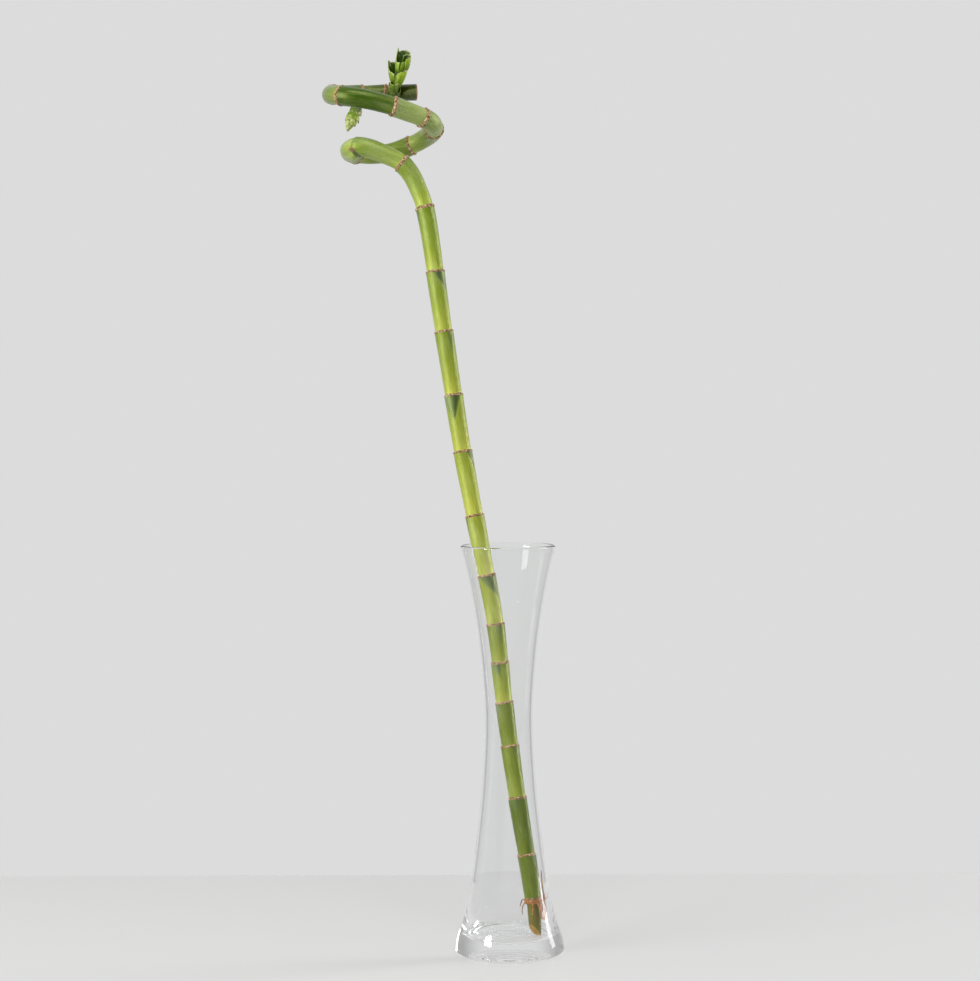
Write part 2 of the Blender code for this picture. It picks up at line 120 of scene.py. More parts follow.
# Bud eye under the bend
BUD_RING, BUD_OFFSET, BUD_SIDE = 15, 4.5, math.radians(-84)
BUD_HEIGHT, BUD_LENGTH, BUD_WIDTH = 3.4, 4.2, math.radians(26)
# Notch under the bud eye: a crease, which NOTCH_DARKNESS darkens with painted shade
NOTCH_TIP, NOTCH_END = math.radians(-22), math.radians(-78)
NOTCH_BACK, NOTCH_WIDTHS, NOTCH_DEPTH, NOTCH_DARKNESS = 4.0, (1.3, 2.6), 0.9, 2.4
TIP_LENGTH, TIP_WIDTH, TIP_STRENGTH = 1.8, math.radians(16), 1.3

# Roots
COLLAR_HEIGHT, COLLAR_RADIUS, COLLAR_BORE = 3.2, 6.6, 5.05
COLLAR_ROUNDING, COLLAR_KNOBS, COLLAR_ROWS, COLLAR_SIDES = 0.7, 0.35, 12, 48
ROOT_START, ROOT_TIP = 0.5, 0.62
ROOT_STEP, ROOT_SIDES, ROOT_SWERVE, ROOT_KINKS = 0.5, 14, 0.35, 0.07
ROUNDED_FROM, ROUNDED_SPAN = 0.94, 0.06
# Each root: its side in degrees, its thickness, and points outward and upward of its start
ROOTS = [(8, 1.0, [(0, 0), (1.6, 0.9), (1.8, 4.5), (1.2, 10.0), (0.6, 16.0), (-0.1, 23.0)]),
         (-12, 0.9, [(0, 0), (1.7, 0.9), (2.1, 3.2), (1.9, 5.6), (1.4, 7.6)]),
         (14, 0.9, [(0, 0), (1.6, -0.1), (2.8, -0.6), (3.4, -2.2)]),
         (-28, 1.7, [(0, 0), (1.9, -1.6), (3.2, -6.5), (3.0, -13.5)]),
         (-52, 1.5, [(0, 0), (2.0, -2.4), (3.0, -8.0), (4.2, -12.0)]),
         (34, 1.3, [(0, 0), (1.8, -1.2), (3.2, -5.0), (3.2, -10.0)]),
         (75, 1.0, [(0, 0), (2.0, -0.5), (3.2, -4.0), (3.0, -9.0)]),
         (-95, 1.0, [(0, 0), (1.8, -1.5), (2.2, -6.0), (3.0, -8.5)]),
         (-150, 0.8, [(0, 0), (2.4, -1.6), (3.8, -5.5), (3.6, -9.5)]),
         (165, 0.8, [(0, 0), (2.4, 0.4), (3.6, -2.5), (4.4, -5.5)])]
FINE_ROOTS = 26

# Shoots, made of leaf bases that were cut short. Each is a trough round the shoot: its foot, how
# far its midrib reaches, the midrib's side, radii low and high, half the wrap low and high in
# degrees, slant of the cut edge, how far the cut drops away from the midrib, a pointed corner
# (place across, height), how torn the edge is, and how yellow the green is
UPPER_STEM = [(-86.6, 94.0, 646.0), (-86.2, 89.6, 649.5), (-85.0, 88.5, 655.5),
              (-82.6, 88.5, 663.0), (-80.8, 88.6, 668.0)]
UPPER_STEM_RADII = (3.0, 1.7)
UPPER_LEAVES = [((-86.4, 93.0, 642.5), (0.8, -3.6, 10.2), (-0.4, 1, 0.3), (3.7, 4.9), (179, 172),
                 0.10, 0.62, (0, 0), 0.03, 0.1),
                ((-86.0, 89.6, 646.2), (0.2, -5.6, 6.2), (0, 0.7, 0.8), (2.9, 3.3), (179, 176),
                 0.0, 0.05, (0, 0), 0.03, 0.45),
                ((-83.8, 87.6, 650.5), (4.4, -1.8, 11.6), (0.75, -0.65, 0), (2.8, 4.0), (150, 84),
                 0.10, 0.5, (0, 0), 0.05, 1.0),
                ((-85.2, 89.4, 650.0), (0.4, -1.2, 19.2), (0, 1, 0.2), (2.6, 6.2), (179, 174),
                 0.12, 0.58, (0.45, 0.12), 0.05, 0.65),
                ((-82.4, 88.8, 659.0), (4.6, -0.4, 19.8), (0.1, 1, 0.2), (2.7, 5.3), (179, 174),
                 -0.06, 0.60, (0.50, 0.32), 0.04, 0.7),
                ((-77.4, 87.2, 662.0), (2.0, -2.4, 11.2), (0.7, 0.6, 0), (2.0, 3.0), (150, 140),
                 0.1, 0.2, (0, 0), 0.06, 0.9)]
LOWER_STEM = [(-109.5, 99.6, 642.0), (-113.4, 98.0, 637.5), (-116.9, 95.6, 632.5),
              (-118.8, 94.2, 627.0), (-121.2, 93.4, 620.4)]
LOWER_STEM_RADII = (2.9, 1.5)
LOWER_LEAVES = [((-115.4, 96.6, 637.0), (-0.4, -0.8, -8.6), (0.9, 0.4, 0), (3.0, 3.5), (178, 140),
                 0.1, 0.2, (-0.6, 0.2), 0.12, 0.0),
                ((-116.4, 96.0, 636.0), (-2.2, -1.4, -8.8), (-0.8, -0.5, 0), (3.0, 3.7), (150, 100),
                 0.0, 0.12, (0.3, 0.15), 0.14, 0.5),
                ((-118.0, 94.8, 630.5), (-0.2, -1.0, -6.4), (1, -0.3, 0), (3.1, 4.4), (150, 100),
                 0.1, 0.5, (-0.4, 0.3), 0.25, 0.9),
                ((-118.4, 94.6, 630.5), (-1.8, -1.0, -6.8), (-1, -0.2, 0), (3.1, 4.4), (150, 95),
                 -0.1, 0.5, (0.4, 0.35), 0.25, 0.85),
                ((-118.7, 94.4, 630.0), (-4.2, -0.8, -14.0), (-0.5, 0.8, 0), (3.9, 0.3), (179, 179),
                 0.0, 0.0, (0, 0), 0.0, 0.8),
                ((-118.2, 94.0, 629.5), (-1.8, -0.8, -9.6), (0.8, -0.6, 0), (3.9, 3.0), (110, 80),
                 -0.05, 0.5, (0, 0), 0.04, 0.9)]
LEAF_THICKNESS = 0.5
LEAF_ACROSS, LEAF_ALONG = 48, 20
LEAF_BELLY, LEAF_UNEVEN = 0.5, 0.12
MIDRIB_RISE, MIDRIB_WIDTH = 0.3, 0.1
CORNER_WIDTH = 0.14
INNER_SIDE = 2.0
# A trough that opens does so early on its way up, and one that narrows does so late
OPENING, NARROWING = 0.75, 2.5
STEM_SIDES, STEM_ROWS, STEM_SHADE, STEM_KIND, STEM_CREASE = 28, 30, 0.3, 0.2, 0.08
# Heights in metres between which the shoot inside the curl turns dry and cream-coloured
DRY_LEAVES = (0.640, 0.636)

# Camera, floor and lights
CAMERA_PLACE = (0.0, -1.480, 0.390)
CAMERA_PITCH, CAMERA_YAW, CAMERA_ROLL = math.radians(1.93), math.radians(0.50), math.radians(0.30)
CAMERA_LENS, SENSOR = 74.15, 36.0
FLOOR_LEVEL = -0.0002
FLOOR_SIDE, FLOOR_FRONT, FLOOR_BACK = 1.0, -1.0, 0.25
# Each softbox: place, aim, width, height and power
SOFTBOXES = {"soft_top": ((0.0, -0.9, 1.9), (0, 0, 0.4), 1.2, 0.45, 15),
             "soft_right": ((1.5, 0.42, 0.7), (0, 0, 0.4), 0.35, 1.4, 16),
             "soft_left": ((-1.5, -0.95, 0.7), (0, 0, 0.4), 1.1, 1.5, 30),
             "vase_streak": ((-1.35, -1.05, 0.93), (0, 0, 0.28), 0.6, 0.6, 40)}
# Backdrop: its tint, what it is dimmed to, and where its dark parts start and are full,
# behind the camera along Y and on both sides along X
BACKDROP, DIMMED = "dcdcdc", (0.36, 0.36, 0.36, 1)
BEHIND_CAMERA, SIDE_CARDS = (0.1, -0.35), (0.25, 0.8)


# ---------------------------------------------------------------- curves
def blend(low, high, share):
    return low + (high - low) * share


def smooth_curve(points, per_span=16):
    """Points of a centripetal Catmull-Rom curve through the given vectors."""
    points = [Vector(p) for p in points]
    points = [2 * points[0] - points[1]] + points + [2 * points[-1] - points[-2]]
    curve = []
    for i in range(1, len(points) - 2):
        p0, p1, p2, p3 = points[i - 1:i + 3]
        t0, t1 = 0.0, math.sqrt((p1 - p0).length)
        t2 = t1 + math.sqrt((p2 - p1).length)
        t3 = t2 + math.sqrt((p3 - p2).length)
        for k in range(per_span):
            t = blend(t1, t2, k / per_span)
            a1 = p0.lerp(p1, (t - t0) / (t1 - t0))
            a2 = p1.lerp(p2, (t - t1) / (t2 - t1))
            a3 = p2.lerp(p3, (t - t2) / (t3 - t2))
            b1 = a1.lerp(a2, (t - t0) / (t2 - t0))
            b2 = a2.lerp(a3, (t - t1) / (t3 - t1))
            curve.append(b1.lerp(b2, (t - t1) / (t2 - t1)))
    curve.append(points[-2].copy())
    return curve


class Route:
    """A smooth curve measured by length, with a frame that turns along without twisting."""

    def __init__(self, points, side=(0, -1, 0)):
        self.points = smooth_curve(points)
        self.lengths = [0.0]
        self.sides = []
        side = Vector(side)
        for i, point in enumerate(self.points):
            ahead = self.points[min(i + 1, len(self.points) - 1)]
            behind = self.points[max(i - 1, 0)]
            along = (ahead - behind).normalized()
            side = (side - along * side.dot(along)).normalized()
            self.sides.append(side)
            if i:
                self.lengths.append(self.lengths[-1] + (point - self.points[i - 1]).length)

    @property
    def length(self):
        return self.lengths[-1]

    def frame(self, distance):
        """Matrix whose origin is on the curve, X is the side, Z runs along the curve."""
        distance = min(max(distance, 0.0), self.length)
        i = next(k for k in range(1, len(self.lengths)) if self.lengths[k] >= distance - 1e-9)
        span = self.lengths[i] - self.lengths[i - 1]
        share = (distance - self.lengths[i - 1]) / span
        origin = self.points[i - 1].lerp(self.points[i], share)
        along = self.direction(i - 1).lerp(self.direction(i), share).normalized()
        side = self.sides[i - 1].lerp(self.sides[i], share)
        side = (side - along * side.dot(along)).normalized()
        turned = Matrix((side, along.cross(side), along)).transposed().to_4x4()
        return Matrix.Translation(origin) @ turned

    def direction(self, i):
        low, high = max(i - 1, 0), min(i + 1, len(self.points) - 1)
        return (self.points[high] - self.points[low]).normalized()


def read_off(table, place):
    """Value at a place, in a straight line between the rows of a table."""
    for (x0, y0), (x1, y1) in zip(table, table[1:]):
        if x1 >= place:
            return blend(y0, y1, (place - x0) / (x1 - x0))
    return table[-1][1]


def ripple(x, y, z):
    """Smooth noise from -1 to 1."""
    return noise.noise(Vector((x, y, z)))


# ---------------------------------------------------------------- meshes
def wrap_grid(bm, sides, rows):
    """A grid of new vertices with its columns from -1 to 1 in X and its rows from 0 to 1 in Y."""
    grid = bmesh.ops.create_grid(bm, x_segments=sides, y_segments=rows, size=1.0)["verts"]
    for vert in grid:
        vert.co.y = (vert.co.y + 1) / 2
    return grid


def tube(bm, route, sections, sides, shape=None, caps=True, tags=None):
    """Closed tube: sections are (distance, radius). shape adds to a vertex's radius, and tags
    are (layer, function) pairs that note something about each vertex."""
    frames = [route.frame(distance) for distance, radius in sections]
    last = len(sections) - 1
    grid = wrap_grid(bm, sides, last)
    for vert in grid:
        around, row = math.pi * vert.co.x, round(vert.co.y * last)
        distance, radius = sections[row]
        for layer, note in tags or ():
            vert[layer] = note(distance, around)
        grown = radius + (shape(distance, around) if shape else 0.0)
        vert.co = frames[row] @ Vector((math.cos(around) * grown, math.sin(around) * grown, 0))
    bmesh.ops.remove_doubles(bm, verts=grid, dist=1e-4)
    kept = [vert for vert in grid if vert.is_valid]
    if caps:
        rims = {edge for vert in kept for edge in vert.link_edges if edge.is_boundary}
        bmesh.ops.holes_fill(bm, edges=list(rims), sides=0)
    return kept


def settle(name, bm, skins, stands_for=None, sharp=40):
    """Turn a bmesh in millimetres into a finished piece of the object, in metres."""
    bmesh.ops.scale(bm, vec=(MM, MM, MM), verts=bm.verts)
    mesh = bpy.data.meshes.new(name)
    bm.to_mesh(mesh)
    bm.free()
    mesh.shade_smooth()
    mesh.set_sharp_from_angle(angle=math.radians(sharp))
    piece = bpy.data.objects.new(name, mesh)
    bpy.context.scene.collection.objects.link(piece)
    for skin in skins:
        mesh.materials.append(skin)
    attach(piece, "root")
    if stands_for:
        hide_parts(stands_for)
    return piece


# ---------------------------------------------------------------- shader maths
class Value:
    """A node's output, so that a sum on patterns is written as a plain expression."""

    def __init__(self, nodes, socket):
        self.nodes, self.socket = nodes, socket

    def math(self, operation, *inputs):
        return self.nodes.node("ShaderNodeMath", {"operation": operation}, dict(enumerate(inputs)))

    def __add__(self, other):
        return self.math("ADD", self, other)

    def __sub__(self, other):
        return self.math("SUBTRACT", self, other)

    def __rsub__(self, other):
        return self.math("SUBTRACT", other, self)

    def __mul__(self, other):
        return self.math("MULTIPLY", self, other)

    def __truediv__(self, other):
        return self.math("DIVIDE", self, other)

    def __pow__(self, other):
        return self.math("POWER", self, other)

    __radd__ = __add__
    __rmul__ = __mul__

    def step(self, low, high):
        """0 below low, 1 above high, smooth between."""
        settings = {"interpolation_type": "SMOOTHSTEP"}
        return self.nodes.node("ShaderNodeMapRange", settings, {0: self, 1: low, 2: high})

    def part(self, index):
        """One component of a vector."""
        return self.nodes.node("ShaderNodeSeparateXYZ", {}, {0: self}, out=index)


def tint(code):
    """Linear colour from a six-digit colour code."""
    shades = [int(code[k:k + 2], 16) / 255 for k in (0, 2, 4)]
    return (*[c / 12.92 if c <= 0.04045 else ((c + 0.055) / 1.055) ** 2.4 for c in shades], 1.0)


class Nodes:
    """The nodes of a material or of the backdrop."""

    def __init__(self, owner):
        owner.use_nodes = True
        self.tree = owner.node_tree

    def node(self, kind, settings, inputs, out=0):
        """Add a node: its settings first, then the values or links of its sockets."""
        made = self.tree.nodes.new(kind)
        for key, value in settings.items():
            if key == "stops":
                self.set_stops(made.color_ramp, value)
            else:
                setattr(made, key, value)
        for socket, value in inputs.items():
            self.feed(made.inputs[socket], value)
        return Value(self, made.outputs[out])

    @staticmethod
    def set_stops(ramp, stops):
        for i, (place, code) in enumerate(stops):
            stop = ramp.elements[i] if i < 2 else ramp.elements.new(place)
            stop.position, stop.color = place, tint(code)

    def feed(self, socket, value):
        if isinstance(value, Value):
            self.tree.links.new(value.socket, socket)
        else:
            socket.default_value = value

    def ray(self, fact):
        """A fact about the ray of light that is being followed."""
        return self.node("ShaderNodeLightPath", {}, {}, out=fact)

    def mix(self, share, low, high):
        settings = {"data_type": "RGBA"}
        return self.node("ShaderNodeMix", settings, {0: share, 6: low, 7: high}, out=2)


class Skin(Nodes):
    """A material built from nodes round one Principled shader."""

    def __init__(self, name, **constants):
        self.material = bpy.data.materials.new(name)
        super().__init__(self.material)
        self.shader = self.tree.nodes["Principled BSDF"]
        self.drive(**constants)

    def drive(self, **inputs):
        """Give sockets of the shader their values or patterns."""
        for socket, value in inputs.items():
            self.feed(self.shader.inputs[socket.replace("_", " ")], value)

    def noted(self, name):
        """A vector that the mesh notes at each vertex."""
        return self.node("ShaderNodeAttribute", {"attribute_name": name}, {}, out=1)

    def place(self):
        """Object coordinates."""
        return self.node("ShaderNodeTexCoord", {}, {}, out=3)

    def stretch(self, vector, x, y, z):
        settings = {"operation": "MULTIPLY"}
        return self.node("ShaderNodeVectorMath", settings, {0: vector, 1: (x, y, z)})

    def grain(self, vector, scale, detail=3.0, rough=0.55):
        """Noise from 0 to 1."""
        return self.node("ShaderNodeTexNoise", {}, {"Vector": vector, "Scale": scale,
                                                    "Detail": detail, "Roughness": rough})

    def ramp(self, value, stops):
        return self.node("ShaderNodeValToRGB", {"stops": stops}, {0: value})

    def bump(self, height, strength, distance):
        return self.node("ShaderNodeBump", {}, {"Strength": strength, "Distance": distance,
                                                "Height": height})


# ---------------------------------------------------------------- finishes
def glass_finish():
    """Clear soda glass with faint drawn ripples and finger smears. Light from the lamps, and light
    that other things give back, passes straight through."""
    skin = Skin("clear_glass", Base_Color=GLASS_TINT, Transmission_Weight=1.0, IOR=1.47,
                Specular_Tint=(0.45, 0.45, 0.45, 1))
    place = skin.place()
    smear = skin.grain(skin.stretch(place, 60, 60, 25), 1.0, 4.0).step(0.5, 0.8)
    waves = skin.grain(skin.stretch(place, 9, 9, 30), 1.0, 1.0)
    skin.drive(Roughness=smear * 0.015, Normal=skin.bump(waves, 0.05, 0.0004))
    glass = Value(skin, skin.shader.outputs[0])
    for fact in PASSING_RAYS:
        clear = skin.node("ShaderNodeBsdfTransparent", {}, {"Color": PASSED_LIGHT})
        glass = skin.node("ShaderNodeMixShader", {}, {0: skin.ray(fact), 1: glass, 2: clear})
    skin.feed(skin.tree.nodes["Material Output"].inputs[0], glass)
    return skin.material


def cane_finish():
    """Living cane: waxy green skin, pale above each ring, dusky under the next, with fine lines.
    The sheath marks' dents and the notch by the bud carry painted shade, and the white wax drifts
    stand in part for painted highlights.
    """
    skin = Skin("cane_skin", Specular_IOR_Level=0.6, Specular_Tint=(0.9, 1.0, 0.35, 1))
    around, node, mark = skin.noted("around"), skin.noted("node"), skin.noted("mark")
    place = around.part(2) / CANE_LENGTH
    share, depth, end = node.part(0), node.part(1), node.part(2)
    light = skin.ramp(place, [(0.0, "788424"), (0.10, "7e8c24"), (0.2, "94a034"),
                              (0.32, "a0a840"), (0.45, "93a038"), (0.60, "8c9f38"),
                              (0.80, "8a9a40"), (1.0, "70803a")])
    deep = skin.ramp(place, [(0.0, "465810"), (0.15, "4e6010"), (0.35, "5e6e1a"),
                             (0.60, "4c6414"), (0.78, "3c5810"), (0.84, "2c4a02"),
                             (0.93, "304804"), (1.0, "141e02")])
    pale = skin.ramp(place, [(0.0, "92a038"), (0.15, "aab040"), (0.25, "c4c058"),
                             (0.40, "c2c04c"), (0.60, "b4c050"), (0.80, "a2b048"),
                             (1.0, "7c8c3c")])
    lines = skin.grain(skin.stretch(around, 22, 22, 0.10), 1.0, 3.0, 0.6)
    cloud = skin.grain(skin.stretch(around, 2.2, 2.2, 0.05), 1.0, 3.0)
    patch = skin.grain(skin.stretch(around, 1.4, 1.4, 0.03), 1.0, 2.0)
    fleck = skin.grain(skin.stretch(around, 10, 10, 1.1), 1.0, 3.0, 0.7)
    colour = skin.mix(depth, light, deep)
    colour = skin.mix((1 - share) ** 4 * patch.step(0.3, 0.6) * (0.95 - depth * 0.6), colour, pale)
    colour = skin.mix(share ** 2.5 * cloud.step(0.25, 0.6) * 0.65, colour, deep)
    colour = skin.mix(lines.step(0.50, 0.70) * (0.35 - depth * 0.2), colour, pale)
    colour = skin.mix((1 - lines.step(0.30, 0.50)) * 0.45, colour, deep)
    colour = skin.mix(mark.part(0) * 0.7, colour, tint("5f7350"))
    # Painted shade in the sheath marks' dents and in the notch under the bud eye
    colour = skin.mix(mark.part(2) * 0.9, colour, tint("2c3a1c"))
    # White wax drifts, in part a painted highlight
    colour = skin.mix(mark.part(1) * fleck.step(0.35, 0.65) * 0.5, colour, tint("b4c49a"))
    colour = skin.mix(fleck.step(0.62, 0.72) * 0.35, colour, tint("5c5428"))
    colour = skin.mix(place.step(*STUMP_BROWN) * fleck.step(0.3, 0.6) * 0.9, colour, tint("5e4022"))
    colour = skin.mix(end.step(0.1, 0.6) * fleck.step(0.25, 0.5) * 0.85, colour, tint("7a5648"))
    height = lines * 0.7 + cloud * 0.4 + fleck * 0.25
    skin.drive(Base_Color=colour, Roughness=0.15 + cloud * 0.14 + mark.part(1) * 0.15,
               Normal=skin.bump(height, 0.5, 0.0004))
    return skin.material


def cut_finish():
    """Cut wood: ochre pith with darker vessels and a browned edge."""
    skin = Skin("cut_wood", Specular_IOR_Level=0.3)
    place = skin.place()
    fibre = skin.grain(skin.stretch(place, 900, 900, 160), 1.0, 4.0)
    stain = skin.grain(place, 260.0, 3.0)
    colour = skin.mix(fibre, tint("7c5c24"), tint("bc9848"))
    colour = skin.mix(stain.step(0.5, 0.75) * 0.7, colour, tint("5a3a1c"))
    skin.drive(Base_Color=colour, Roughness=0.6 + fibre * 0.3,
               Normal=skin.bump(fibre, 0.6, 0.0004))
    return skin.material


def scar_finish():
    """Ring scars: thin dry tissue left by the fallen leaves."""
    skin = Skin("ring_scar", Specular_IOR_Level=0.25)
    around = skin.noted("around")
    fray = skin.grain(skin.stretch(around, 5, 5, 0.9), 1.0, 4.0)
    colour = skin.ramp(fray, [(0.3, "3a2412"), (0.42, "6d4a30"), (0.52, "9c7c58"), (0.62, "c4ae8a"),
                              (0.75, "d8ccb0")])
    skin.drive(Base_Color=colour, Roughness=0.55 + fray * 0.3, Normal=skin.bump(fray, 0.5, 0.0003))
    return skin.material


def root_finish():
    """Roots: orange-brown and fleshy, paler at the tips, with fine cross wrinkles."""
    skin = Skin("root_skin", Specular_IOR_Level=0.4)
    around = skin.noted("around")
    tip = around.part(2)
    place = skin.place()
    blotch = skin.grain(place, 420.0, 4.0)
    colour = skin.ramp(blotch, [(0.25, "4e2e10"), (0.45, "8e5a26"), (0.62, "b87e44"),
                                (0.8, "d8ac78")])
    colour = skin.mix(tip.step(0.7, 1.0) * 0.5, colour, tint("cc9676"))
    wrinkle = skin.grain(skin.stretch(place, 500, 500, 1800), 1.0, 2.0)
    skin.drive(Base_Color=colour, Roughness=0.45 + blotch * 0.25,
               Normal=skin.bump(wrinkle, 0.5, 0.0002))
    return skin.material


def leaf_finish():
    """Leaf bases: glossy green with long veins, darker inside (partly their deeper green, partly
    painted shade), and a pale edge where they end.
    """
    skin = Skin("leaf_green", Specular_IOR_Level=0.35)
    leaf = skin.noted("leaf")
    across, up, kind = leaf.part(0), leaf.part(1), leaf.part(2)
    inside = kind.step(0.0, -0.4)
    veins = across.math("SINE", across * 60.0) * 0.5 + 0.5
    place = skin.place()
    blotch = skin.grain(place, 420.0, 4.0, 0.6)
    deep = skin.ramp(kind, [(0.0, "2c4002"), (0.5, "3c5a00"), (1.0, "688600")])
    light = skin.ramp(kind, [(0.0, "5d7230"), (0.5, "84a01c"), (1.0, "9cb810")])
    colour = skin.mix(up.step(0.2, 1.0) * 0.55 + blotch.step(0.4, 0.7) * 0.45, deep, light)
    colour = skin.mix(veins * 0.15, colour, tint("8fa04c"))
    # Inner faces darken most towards the foot of the trough: partly a deeper green, partly painted
    # shade
    colour = skin.mix(inside * (0.9 - up ** 3 * 0.4), colour, tint("2a5004"))
    flank = across.math("ABSOLUTE", across).step(0.25, 0.55) * up.step(0.4, 0.9)
    colour = skin.mix(inside * flank * blotch.step(0.35, 0.65) * 0.8, colour, tint("6f7f08"))
    colour = skin.mix(up.step(0.7, 0.88) * blotch.step(0.52, 0.62) * 0.5, colour, tint("c2c48a"))
    dry = place.part(2).step(*DRY_LEAVES) * up.step(0.3, 0.6) * blotch.step(0.42, 0.56)
    colour = skin.mix(dry * 0.75, colour, tint("c8c690"))
    colour = skin.mix(up.step(0.945, 0.985) * 0.8, colour, tint("b4ba7c"))
    colour = skin.mix(blotch.step(0.62, 0.72) * up.step(0.9, 0.96) * 0.5, colour, tint("6e5636"))
    skin.drive(Base_Color=colour, Roughness=0.25 + blotch * 0.2,
               Normal=skin.bump(veins * 0.4 + blotch, 0.4, 0.0004))
    return skin.material


def floor_finish():
    """Pale smooth table."""
    skin = Skin("pale_table", Specular_IOR_Level=0.2)
    place = skin.place()
    cloud = skin.grain(place, 1.2, 2.0)
    skin.drive(Base_Color=skin.mix(cloud, tint("d0d0d0"), tint("d8d8d7")),
               Roughness=0.3 + cloud * 0.1)
    return skin.material


# ---------------------------------------------------------------- vase
def arc(centre, radius, start, end, steps):
    """Points (r, z) on an arc, from one angle to another in degrees."""
    for k in range(steps + 1):
        angle = math.radians(blend(start, end, k / steps))
        yield centre[0] + radius * math.cos(angle), centre[1] + radius * math.sin(angle)


VASE_CURVE = [(p.x, p.y) for p in smooth_curve([(z, r, 0) for z, r in VASE_OUTLINE])]


def outline_radius(height):
    return read_off(VASE_CURVE, height)


def inner_radius(height):
    wall = WALL + WALL_EXTRA * math.exp(-(height - FLOOR_HEIGHT) / WALL_FADE)
    return outline_radius(height) - wall


def heights(start, end, bands):
    return [blend(start, end, k / bands) for k in range(1, bands)]


def vase_profile():
    """The glass in section, as (r, z) from under the foot, over the lip, to the inner floor."""
    foot = (outline_radius(FOOT_ROUND) - FOOT_ROUND, FOOT_ROUND)
    lip_height = VASE_HEIGHT - LIP_RADIUS
    lip = (outline_radius(lip_height) - LIP_RADIUS, lip_height)
    corner_top = FLOOR_HEIGHT + FLOOR_CORNER
    corner = (inner_radius(corner_top) - FLOOR_CORNER, corner_top)
    hollow = foot[0] - FOOT_RIM
    profile = [(hollow * share, FOOT_HOLLOW * (1 - share * share)) for share in FOOT_STEPS]
    profile += list(arc(foot, FOOT_ROUND, -90, 0, ROUND_BANDS))
    profile += [(outline_radius(z), z) for z in heights(FOOT_ROUND, lip_height, OUTER_BANDS)]
    profile += list(arc(lip, LIP_RADIUS, 0, 180, 2 * ROUND_BANDS))
    profile += [(inner_radius(z), z) for z in heights(lip_height, corner_top, INNER_BANDS)]
    profile += list(arc(corner, FLOOR_CORNER, 0, -90, ROUND_BANDS))
    for r in FLOOR_GROOVES:
        profile += [(r + GROOVE_HALF, FLOOR_HEIGHT), (r, FLOOR_HEIGHT - GROOVE_DEPTH),
                    (r - GROOVE_HALF, FLOOR_HEIGHT)]
    return profile


def make_vase():
    bm = bmesh.new()
    verts = [bm.verts.new((r, 0, z)) for r, z in vase_profile()]
    edges = [bm.edges.new(pair) for pair in zip(verts, verts[1:])]
    bmesh.ops.spin(bm, geom=verts + edges, cent=(0, 0, 0), axis=(0, 0, 1), dvec=(0, 0, 0),
                   angle=2 * math.pi, steps=VASE_SIDES, use_merge=True)
    rims = [edge for edge in bm.edges if edge.is_boundary]
    discs = bmesh.ops.holes_fill(bm, edges=rims, sides=0)["faces"]
    bmesh.ops.recalc_face_normals(bm, faces=bm.faces)
    bmesh.ops.inset_individual(bm, faces=discs, thickness=POLE_INSET)
    return settle("glass_vase", bm, [glass_finish()], "vase")


# ---------------------------------------------------------------- cane
def ring_places():
    """Distances of the node rings along the cane. The last one is the cut end."""
    places = [STUMP_LENGTH]
    for length in INTERNODES:
        places.append(places[-1] + length)
    return places


RINGS = ring_places()


def internode(distance):
    """Number of the internode at a distance, or -1 on the stump."""
    return sum(place <= distance for place in RINGS) - 1


def cane_radius(distance, ring_low, ring_high):
    """Radius within one internode: narrow above its lower ring, widest under its upper one."""
    share = (distance - ring_low) / (ring_high - ring_low)
    return read_off(CANE_GIRTH, distance) + NODE_SWELL * share


def cane_sections():
    stump = STUMP_LENGTH - RING_STEP
    count = round(stump / CANE_STEP)
    sections = []
    for k in range(count + 1):
        distance = stump * k / count
        taper = min(1.0, distance / (STUMP_LENGTH * STUMP_TAPER))
        sections.append((distance, blend(STUMP_TIP_RADIUS, STUMP_RADIUS, taper)))
    for low, high in zip(RINGS, RINGS[1:]):
        count = round((high - low) / CANE_STEP)
        for k in range(count + 1):
            distance = blend(low + RING_STEP, high - RING_STEP, k / count)
            sections.append((distance, cane_radius(distance, low, high)))
    return sections


def bud_swell(distance, around):
    """Height of the bud eye's scale above the cane's surface."""
    along = (distance - RINGS[BUD_RING] - BUD_OFFSET) / BUD_LENGTH
    across = (around - BUD_SIDE) / BUD_WIDTH
    return BUD_HEIGHT * math.exp(-along * along - across * across)


def bud_notch(distance, around):
    """How deep a vertex lies in the notch between the bud eye and the internode below it. The notch
    is also darkened with painted shade.
    """
    share = (NOTCH_TIP - around) / (NOTCH_TIP - NOTCH_END)
    if not 0 <= share <= 1.1:
        return 0.0
    off = abs(distance - RINGS[BUD_RING] + NOTCH_BACK * share)
    return max(0.0, 1 - off / blend(*NOTCH_WIDTHS, share))


def sheath_mark(distance, around):
    """How strongly a vertex is inside the mark under the next ring, and how dark it is there: the
    dent's depth, and its painted shade.
    """
    ring = internode(distance) + 1
    if ring not in MARKS:
        return 0.0, 0.0
    left, right, point, length, strength, dark_side = MARKS[ring]
    under = (RINGS[ring] - distance) / length
    if under > 1:
        return 0.0, 0.0
    low, high = blend(left, point, under), blend(right, point, under)
    middle, half = math.radians((low + high) / 2), math.radians((high - low) / 2 + 1)
    off = (around - middle + math.pi) % (2 * math.pi) - math.pi
    inside = max(0.0, min(1.0, (half - abs(off)) / MARK_SOFT_EDGE))
    # dark: how deep the dent sinks here, and how strong its painted shade is
    dark = 1 - abs(off / half)
    if dark_side:
        dark = max(0.0, 1 - abs(off / half - MARK_DARK_PLACE * dark_side) * 1.3)
    return strength * inside, strength * inside * dark


